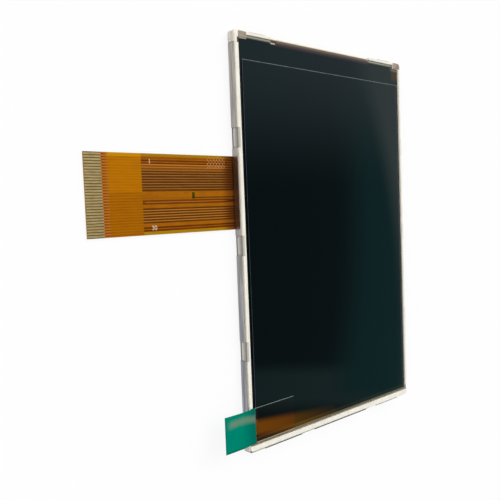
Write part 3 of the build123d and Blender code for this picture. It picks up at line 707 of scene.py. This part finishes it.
def tab_finish():
    """Green film with one painted highlight arc where the tab is free. Stuck on the screen, it is dark and
    glossy, with painted highlights along its edges and a painted reflection at its bend.
    """
    material, tree, shader = new_finish("green tab film", IOR=1.5, Specular_IOR_Level=0.0,
                                        Coat_IOR=1.5, Coat_Roughness=0.02)
    low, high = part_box("peel_tab")
    film_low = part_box("protective_film")[0]
    film_left = film_low.x / MM
    spots = use(tree, PLACE)
    streaks = clouds_of(tree, (0.5, 0.15, 0.5), low=0.3, high=0.7)
    free = free_tab_colour(tree, spots, streaks, low, film_left)
    stuck = stuck_tab_colour(tree, spots, high, film_low)
    is_stuck = ramp(tree, spots["X"], *inside(film_left, TAB_STUCK_MM))
    feed(tree, shader, Base_Color=blend(tree, is_stuck, free, stuck), Coat_Weight=is_stuck,
         Roughness=varying(tree, streaks, 0.35, 0.45))
    return material


def along_tail(tree, position, first, changes):
    """Colours in turn along the tail: the first, then pairs of where a colour starts and the colour."""
    result = first
    for start, colour in changes:
        change = ramp(tree, position, start - EDGE_SOFTNESS_MM, start + EDGE_SOFTNESS_MM)
        result = blend(tree, change, result, colour)
    return result


def block_colour(tree, clouds, across, lower, upper, margin):
    """The plain block: two halves across the tail, and a paler margin, given as its place and tone."""
    halves = blend(tree, ramp(tree, across, *BLOCK_MIDDLE_MM), mixed(tree, clouds, *lower),
                   mixed(tree, clouds, *upper))
    return blend(tree, ramp(tree, across, *margin[0]), halves, tone(*margin[1]))


def ribbon_finish():
    """Amber polyimide: olive behind the contacts, plain on the stiffened block, with painted shade next to
    the module; round the fold, painted shade and a pale painted highlight.
    """
    material, tree, shader = new_finish("amber ribbon", IOR=1.6, Specular_IOR_Level=COVER_GLOSS)
    spots = use(tree, PLACE)
    across = spots["Y"]
    clouds = clouds_of(tree, (0.4, 0.9, 0.4))
    block = block_colour(tree, clouds, across, ((172, 104, 2), (165, 98, 0)),
                         ((184, 117, 0), (178, 111, 0)), (BLOCK_MARGIN_MM, (200, 144, 2)))
    between = mixed(tree, clouds, (165, 99, 12), (155, 89, 6))
    for strip, strip_tone in STRIPS_BETWEEN:
        between = blend(tree, within(tree, across, *strip), between, tone(*strip_tone))
    by_joined = within(tree, across, *JOINED_TRACE_MM, softness=0.03)
    between = blend(tree, by_joined, between, tone(120, 66, 6))
    margin = result_of(tree, "MAXIMUM", ramp(tree, across, *UPPER_MARGIN_MM),
                    ramp(tree, across, *LOWER_MARGIN_MM))
    traced = blend(tree, margin, between, tone(166, 122, 10))
    # Painted shade on the tail next to the module, on its top face
    shaded = blend(tree, ramp(tree, spots["X"], *SHADE_X_MM), traced, tone(128, 70, 14))
    back = mixed(tree, clouds, (190, 128, 36), (176, 114, 28))
    shaded = blend(tree, ramp(tree, spots["Z"], *RIBBON_BACK_Z_MM), shaded, back)
    olive = mixed(tree, clouds, (98, 77, 32), (86, 65, 24))
    colour = along_tail(tree, spots["X"], olive, [
        (CONTACTS_END_MM, tone(184, 110, 40)),
        (DASHES_END_MM, block),
        (BLOCK_END_MM, shaded),
    ])
    folded = mixed(tree, clouds, (190, 130, 40), (176, 116, 30))
    colour = blend(tree, ramp(tree, spots["Y"], *FOLD_GOLD_Y_MM), colour, folded)
    over_edge = times(tree, ramp(tree, spots["Y"], *FOLD_EDGE_Y_MM),
                      ramp(tree, spots["Z"], *FOLD_EDGE_Z_MM))
    # Painted shade where the ribbon climbs the edge, turning to a pale painted highlight round the fold
    pale = mixed(tree, ramp(tree, spots["Y"], *FOLD_SHADE_TO_HIGHLIGHT_Y_MM), (98, 88, 72), (242, 233, 214))
    colour = blend(tree, over_edge, colour, pale)
    feed(tree, shader, Base_Color=colour, Roughness=varying(tree, clouds, 0.26, 0.38),
         Normal=bump(tree, clouds, depth_mm=0.01, strength=0.5))
    return material


def trace_finish():
    """Copper seen through the amber cover: dashes by the contacts, faint on the block, dark beyond, and
    darker still under painted shade next to the module.
    """
    material, tree, shader = new_finish("covered copper", IOR=1.6, Specular_IOR_Level=COVER_GLOSS)
    spots = use(tree, PLACE)
    across = spots["Y"]
    clouds = clouds_of(tree, (0.3, 2.0, 1.0))
    block = block_colour(tree, clouds, across, ((158, 92, 3), (148, 84, 1)),
                         ((178, 107, 1), (170, 100, 0)), (TRACE_MARGIN_MM, (190, 132, 2)))
    brown = mixed(tree, clouds, (92, 49, 8), (101, 57, 14))
    red = mixed(tree, clouds, (98, 44, 5), (110, 53, 11))
    outer = result_of(tree, "MAXIMUM", ramp(tree, across, *UPPER_OUTER_TRACES_MM),
                   ramp(tree, across, *LOWER_OUTER_TRACES_MM))
    lines = blend(tree, outer, brown, red)
    lines = blend(tree, ramp(tree, across, *TOP_TRACE_MM), lines, tone(140, 78, 12))
    lines = blend(tree, within(tree, across, *PLAIN_STRIP_MM), lines, tone(128, 74, 18))
    lines = blend(tree, ramp(tree, across, *TRACE_MARGIN_MM), lines, tone(166, 120, 8))
    lines = blend(tree, within(tree, across, *JOINED_MIDDLE_MM, softness=0.06), lines, tone(176, 98, 30))
    single = times(tree, within(tree, across, *SINGLE_TRACE_MM),
                   ramp(tree, spots["X"], *SINGLE_TRACE_PALE_X_MM))
    lines = blend(tree, single, lines, tone(150, 88, 8))
    # Painted shade on the traces next to the module
    shaded = blend(tree, ramp(tree, spots["X"], *SHADE_X_MM), lines, tone(74, 37, 8))
    dashes = blend(tree, ramp(tree, spots["X"], DASHES_START_MM, TRACES_START_MM), tone(126, 70, 10), block)
    colour = along_tail(tree, spots["X"], dashes, [(TRACES_START_MM, block), (BLOCK_END_MM, shaded)])
    feed(tree, shader, Base_Color=colour, Roughness=varying(tree, clouds, 0.28, 0.40))
    return material


def contact_finish():
    """Thin dull gold over nickel, scuffed along its length."""
    material, tree, shader = new_finish("contact plating", Metallic=0.25, Specular_IOR_Level=0.3)
    scuffs = clouds_of(tree, (0.7, 5.0, 3.0), low=0.3, high=0.7, detail=4.0)
    feed(tree, shader, Base_Color=mixed(tree, scuffs, (178, 158, 110), (152, 132, 86)),
         Roughness=varying(tree, scuffs, 0.34, 0.52))
    return material


# Finishes in two close tones: the tones, their clouds' scale per millimetre, the span of roughness,
# and the shader's plain values
MOTTLED_FINISHES = {
    "white film": ((240, 240, 238), (228, 229, 229), 0.3, (0.5, 0.6), {}),
    "clear sheet": ((236, 242, 242), (226, 234, 235), 0.2, (0.05, 0.12),
                    {"Transmission_Weight": 0.9, "IOR": 1.49}),
    "light package": ((238, 232, 190), (226, 214, 150), 2.0, (0.35, 0.5), {}),
    "cell seal": ((36, 38, 38), (26, 28, 28), 1.0, (0.3, 0.5), {}),
    "silicon": ((60, 60, 66), (52, 52, 58), 1.2, (0.12, 0.2), {"Metallic": 0.6}),
    "sealant": ((196, 196, 190), (180, 180, 172), 0.8, (0.3, 0.45), {}),
    "stiffener": ((178, 122, 28), (166, 110, 20), 0.5, (0.35, 0.5), {}),
    "adhesive": ((222, 220, 212), (210, 207, 198), 0.7, (0.45, 0.6), {}),
    "ceramic": ((146, 116, 86), (128, 98, 70), 6.0, (0.4, 0.55), {}),
    "bright tin": ((214, 216, 218), (196, 198, 202), 5.0, (0.22, 0.36), {"Metallic": 1.0}),
    "white ink": ((226, 196, 172), (206, 170, 142), 3.0, (0.5, 0.6), {}),
    "bare dots": ((222, 166, 112), (206, 146, 92), 3.0, (0.4, 0.5), {}),
    "covered pad": ((62, 64, 8), (48, 50, 4), 1.6, (0.5, 0.6), {"Specular_IOR_Level": COVER_GLOSS}),
}

FINISHES = {
    "rolled steel": steel_finish(),
    "moulded frame": frame_finish(),
    "black tape": screen_finish("black tape", "ledge_cover_tape"),
    "polariser": screen_finish("polariser", "upper_polariser"),
    "protective film": screen_finish("protective film", "protective_film"),
    "cell glass": glass_finish(),
    "green tab film": tab_finish(),
    "amber ribbon": ribbon_finish(),
    "covered copper": trace_finish(),
    "contact plating": contact_finish(),
}
for finish, (*looks, plain_values) in MOTTLED_FINISHES.items():
    FINISHES[finish] = plain_mottled(finish, *looks, **plain_values)

NODE_FINISHES = {
    "steel_shell": "rolled steel",
    "mould_frame": "moulded frame",
    "reflector_film": "white film",
    "light_guide": "clear sheet",
    "diffuser_film": "white film",
    "prism_film_lower": "clear sheet",
    "prism_film_upper": "clear sheet",
    "led_packages": "light package",
    "led_flex": "amber ribbon",
    "led_solder_joints": "bright tin",
    "led_tongue_tape": "adhesive",
    "rim_tape": "black tape",
    "lower_polariser": "polariser",
    "array_glass": "cell glass",
    "cell_seal": "cell seal",
    "liquid_crystal": "cell seal",
    "filter_glass": "cell glass",
    "upper_polariser": "polariser",
    "protective_film": "protective film",
    "peel_tab": "green tab film",
    "driver_chip": "silicon",
    "ledge_sealant": "sealant",
    "ledge_cover_tape": "black tape",
    "ribbon_circuit": "amber ribbon",
    "ribbon_tape": "adhesive",
    "contact_fingers": "contact plating",
    "contact_stiffener": "stiffener",
    "copper_traces": "covered copper",
    "capacitor_bodies": "ceramic",
    "capacitor_terminals": "bright tin",
}


def dress_nodes():
    """Gives each piece of the frame its finish."""
    for name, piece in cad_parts.items():
        piece.data.materials.clear()
        piece.data.materials.append(FINISHES[NODE_FINISHES[name]])


def add_piece(name, mesh, finish):
    """A piece of the object with its place in its mesh."""
    piece = bpy.data.objects.new(name, mesh)
    bpy.context.scene.collection.objects.link(piece)
    mesh.materials.clear()
    mesh.materials.append(FINISHES[finish])
    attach(piece, "root")
    return piece


def laid_mesh(holder, name, place):
    """The finished mesh of an object, laid on the tail's traces at its place."""
    bpy.context.scene.collection.objects.link(holder)
    bpy.context.view_layer.update()
    mesh = bpy.data.meshes.new_from_object(holder.evaluated_get(bpy.context.evaluated_depsgraph_get()))
    bpy.data.objects.remove(holder)
    trace_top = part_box("copper_traces")[1].z
    mesh.transform(Matrix.Translation((place.x, place.y, trace_top + MARK_THICKNESS / 2)))
    mesh.name = name
    return mesh


def printed_number(name, words, place):
    """A plain printed number that lies on the tail, centred on its place."""
    letters = bpy.data.curves.new(name, "FONT")
    letters.body = words
    letters.align_x = "CENTER"
    letters.align_y = "CENTER"
    letters.size = MARK_HEIGHT * FONT_SIZE_SHARE
    letters.extrude = MARK_THICKNESS / 2
    letters.offset = MARK_HEIGHT * FONT_WEIGHT_SHARE
    holder = bpy.data.objects.new(name + "_text", letters)
    return add_piece(name, laid_mesh(holder, name, place), "white ink")


def dot_grid_tree():
    """Geometry nodes for a field of small round dots in staggered rows."""
    tree = bpy.data.node_groups.new("Dot field", "GeometryNodeTree")
    sockets = {}
    for name, kind in (("Columns", "NodeSocketInt"), ("Rows", "NodeSocketInt"),
                       ("Pitch", "NodeSocketFloat"), ("Dot Radius", "NodeSocketFloat"),
                       ("Thickness", "NodeSocketFloat"), ("Finish", "NodeSocketMaterial")):
        sockets[name] = tree.interface.new_socket(name, in_out="INPUT", socket_type=kind).identifier
    tree.interface.new_socket("Geometry", in_out="OUTPUT", socket_type="NodeSocketGeometry")
    start = tree.nodes.new("NodeGroupInput").outputs
    end = tree.nodes.new("NodeGroupOutput")
    width = result_of(tree, "MULTIPLY", start["Columns"], start["Pitch"])
    height = result_of(tree, "MULTIPLY", start["Rows"], start["Pitch"])
    grid = put(tree, "GeometryNodeMeshGrid", None,
               {"Size X": width, "Size Y": height,
                "Vertices X": start["Columns"], "Vertices Y": start["Rows"]})
    odd = result_of(tree, "MODULO", put(tree, "GeometryNodeInputIndex").outputs[0], 2.0)
    half_step = result_of(tree, "MULTIPLY", result_of(tree, "MULTIPLY", odd, start["Pitch"]), 0.5)
    offset = put(tree, "ShaderNodeCombineXYZ", None, {"Y": half_step})
    points = put(tree, "GeometryNodeSetPosition", None,
                 {"Geometry": grid.outputs["Mesh"], "Offset": offset.outputs[0]})
    dot = put(tree, "GeometryNodeMeshCylinder", {"fill_type": "NGON"},
              {"Vertices": DOT_SIDES, "Radius": start["Dot Radius"], "Depth": start["Thickness"]})
    placed = put(tree, "GeometryNodeInstanceOnPoints", None,
                 {"Points": points.outputs[0], "Instance": dot.outputs["Mesh"]})
    real = put(tree, "GeometryNodeRealizeInstances", None, {"Geometry": placed.outputs[0]})
    coated = put(tree, "GeometryNodeSetMaterial", None,
                 {"Geometry": real.outputs[0], "Material": start["Finish"]})
    tree.links.new(coated.outputs[0], end.inputs[0])
    return tree, sockets


def dot_field(name, place, finish):
    """A field of dots printed on the tail, as one plain mesh."""
    tree, sockets = dot_grid_tree()
    holder = bpy.data.objects.new(name + "_holder", bpy.data.meshes.new(name + "_base"))
    modifier = holder.modifiers.new("Dots", "NODES")
    modifier.node_group = tree
    values = {"Columns": DOT_COLUMNS, "Rows": DOT_ROWS, "Pitch": DOT_PITCH, "Dot Radius": DOT_RADIUS,
              "Thickness": MARK_THICKNESS, "Finish": FINISHES[finish]}
    for key, value in values.items():
        modifier[sockets[key]] = value
    return add_piece(name, laid_mesh(holder, name, place), finish)


def flat_pad(name, place, finish):
    """A thin plain pad on the tail."""
    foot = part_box("copper_traces")[1].z
    corners = []
    for height in (foot, foot + MARK_THICKNESS):
        for side, end in ((-1, -1), (1, -1), (1, 1), (-1, 1)):
            corners.append((place.x + side * PAD_WIDTH / 2, place.y + end * PAD_LENGTH / 2, height))
    faces = [(3, 2, 1, 0), (4, 5, 6, 7)]
    faces += [(n, (n + 1) % 4, (n + 1) % 4 + 4, n + 4) for n in range(4)]
    mesh = bpy.data.meshes.new(name)
    mesh.from_pydata(corners, [], faces)
    return add_piece(name, mesh, finish)


def grey(level):
    """A grey light of one level."""
    return (level, level, level, 1.0)


def sky_ray(tree):
    """The direction in which the world is seen, from the middle of the scene outwards."""
    return put(tree, "ShaderNodeTexCoord").outputs["Generated"]


def soft_patch(tree, direction, inner, outer):
    """A mask of 1 where a ray's cosine with a direction is above inner, and 0 where it is below outer."""
    unit = Vector(direction).normalized()
    lean = put(tree, "ShaderNodeVectorMath", {"operation": "DOT_PRODUCT"},
               {0: sky_ray(tree), 1: tuple(unit)})
    return ramp(tree, lean.outputs["Value"], outer, inner)


def light_bar(tree, start, end, half_width):
    """A soft mask round the line between two directions, fading towards the second."""
    first = Vector(start).normalized()
    line = Vector(end).normalized() - first
    offset = put(tree, "ShaderNodeVectorMath", {"operation": "SUBTRACT"},
                 {0: sky_ray(tree), 1: tuple(first)})
    along = put(tree, "ShaderNodeVectorMath", {"operation": "DOT_PRODUCT"},
                {0: offset.outputs[0], 1: tuple(line / line.length_squared)})
    share = put(tree, "ShaderNodeClamp", None, {"Value": along.outputs["Value"]}).outputs[0]
    nearest = put(tree, "ShaderNodeVectorMath", {"operation": "SCALE"}, {0: tuple(line), "Scale": share})
    away = put(tree, "ShaderNodeVectorMath", {"operation": "DISTANCE"},
               {0: offset.outputs[0], 1: nearest.outputs[0]})
    near = ramp(tree, away.outputs["Value"], *(half_width * softness for softness in GLOW_SOFTNESS))
    return times(tree, near, ramp(tree, share, *GLOW_FADE))


def studio_sky():
    """Soft light from all round: brighter at the horizon, in a wide key and at the left side.

    The screen mirrors a dark panel, tinted in parts, and a narrow amber light bar in front of it.
    """
    world = bpy.data.worlds.new("Studio")
    bpy.context.scene.world = world
    world.use_nodes = True
    tree = world.node_tree
    background = tree.nodes["Background"]
    ray = put(tree, "ShaderNodeSeparateXYZ", None, {0: sky_ray(tree)}).outputs
    colour = blend(tree, ramp(tree, ray["Z"], *HORIZON_SPAN), grey(HORIZON_LEVEL), grey(SKY_LEVEL))
    side = soft_patch(tree, SIDE_DIRECTION, PATCH_CORE, math.cos(SIDE_REACH))
    colour = blend(tree, side, colour, grey(SIDE_LEVEL))
    key = soft_patch(tree, KEY_DIRECTION, PATCH_CORE, math.cos(KEY_REACH))
    colour = blend(tree, key, colour, grey(KEY_LEVEL))
    leaning = result_of(tree, "MULTIPLY_ADD", ray["Y"], -PANEL_FAR_LEAN, ray["Z"])
    panel = times(tree, ramp(tree, ray["X"], *PANEL_NEAR_X), ramp(tree, leaning, *PANEL_FAR_Z),
                  ramp(tree, ray["Y"], *PANEL_UPPER_Y), ramp(tree, ray["Y"], *PANEL_LOWER_Y))
    seen = blend(tree, within(tree, ray["Y"], *PANEL_LOWER_BAND_Y, PANEL_LOWER_SOFTNESS),
                 (*PANEL_COLOUR, 1.0), (*PANEL_LOWER_COLOUR, 1.0))
    far = times(tree, ramp(tree, ray["Z"], *PANEL_FAR_TINT_Z), ramp(tree, ray["Y"], *PANEL_FAR_TINT_Y))
    seen = blend(tree, far, seen, (*PANEL_FAR_COLOUR, 1.0))
    seen = blend(tree, ramp(tree, ray["Y"], *PANEL_UPPER_TINT_Y), seen, (*PANEL_UPPER_COLOUR, 1.0))
    colour = blend(tree, panel, colour, seen)
    glow = light_bar(tree, GLOW_START, GLOW_END, GLOW_HALF_WIDTH)
    colour = blend(tree, glow, colour, (*GLOW_COLOUR, 1.0))
    tree.links.new(colour, background.inputs["Color"])


def seen_directly(tree):
    """1 for rays from the camera, off metal or through glass, and 0 for rays that carry soft light."""
    path = put(tree, "ShaderNodeLightPath").outputs
    seen = result_of(tree, "MAXIMUM", path["Is Camera Ray"], path["Is Glossy Ray"])
    return result_of(tree, "MAXIMUM", seen, path["Is Transmission Ray"])


def studio_floor():
    """A plain white floor just below the module's lowest point, which keeps a faint shadow."""
    half = FLOOR_SIZE / 2
    height = cad_box[0].z - FLOOR_CLEARANCE
    mesh = bpy.data.meshes.new("floor")
    corners = [(-half, -half, height), (half, -half, height), (half, half, height), (-half, half, height)]
    mesh.from_pydata(corners, [], [(0, 1, 2, 3)])
    floor = bpy.data.objects.new("floor", mesh)
    bpy.context.scene.collection.objects.link(floor)
    material, tree, shader = new_finish("floor paint", Roughness=0.9, Specular_IOR_Level=0.1)
    clouds = clouds_of(tree, (0.01, 0.01, 0.01))
    feed(tree, shader, Base_Color=mixed(tree, clouds, FLOOR_COLOUR, FLOOR_CLOUD_COLOUR))
    white = put(tree, "ShaderNodeEmission", None, {"Color": (1.0, 1.0, 1.0, 1.0), "Strength": 1.0})
    share = result_of(tree, "MULTIPLY", seen_directly(tree), FLOOR_GLOW_SHARE)
    mix = put(tree, "ShaderNodeMixShader", None, {0: share, 1: shader.outputs[0], 2: white.outputs[0]})
    tree.links.new(mix.outputs[0], tree.nodes["Material Output"].inputs["Surface"])
    mesh.materials.append(material)


def studio_camera():
    """The camera at the photograph's place, direction, roll and angle of view."""
    lens = bpy.data.cameras.new("Camera")
    lens.lens = FOCAL_LENGTH_MM
    lens.sensor_width = SENSOR_WIDTH_MM
    lens.clip_start = NEAR_LIMIT
    lens.clip_end = FAR_LIMIT
    camera = bpy.data.objects.new("Camera", lens)
    bpy.context.scene.collection.objects.link(camera)
    forward = (CAMERA_AIM - CAMERA_PLACE).normalized()
    right = forward.cross(Vector((0.0, 1.0, 0.0))).normalized()
    right = Matrix.Rotation(CAMERA_ROLL, 3, forward) @ right
    up = right.cross(forward)
    camera.matrix_world = Matrix((
        (right.x, up.x, -forward.x, CAMERA_PLACE.x),
        (right.y, up.y, -forward.y, CAMERA_PLACE.y),
        (right.z, up.z, -forward.z, CAMERA_PLACE.z),
        (0.0, 0.0, 0.0, 1.0),
    ))
    bpy.context.scene.camera = camera


dress_nodes()
printed_number("pin_mark_first", "1", FIRST_MARK_PLACE)
printed_number("pin_mark_last", "30", LAST_MARK_PLACE)
dot_field("hatched_ground", DOTS_PLACE, "bare dots")
flat_pad("covered_pad", PAD_PLACE, "covered pad")
studio_sky()
studio_floor()
studio_camera()
bpy.context.scene.view_settings.view_transform = "Standard"
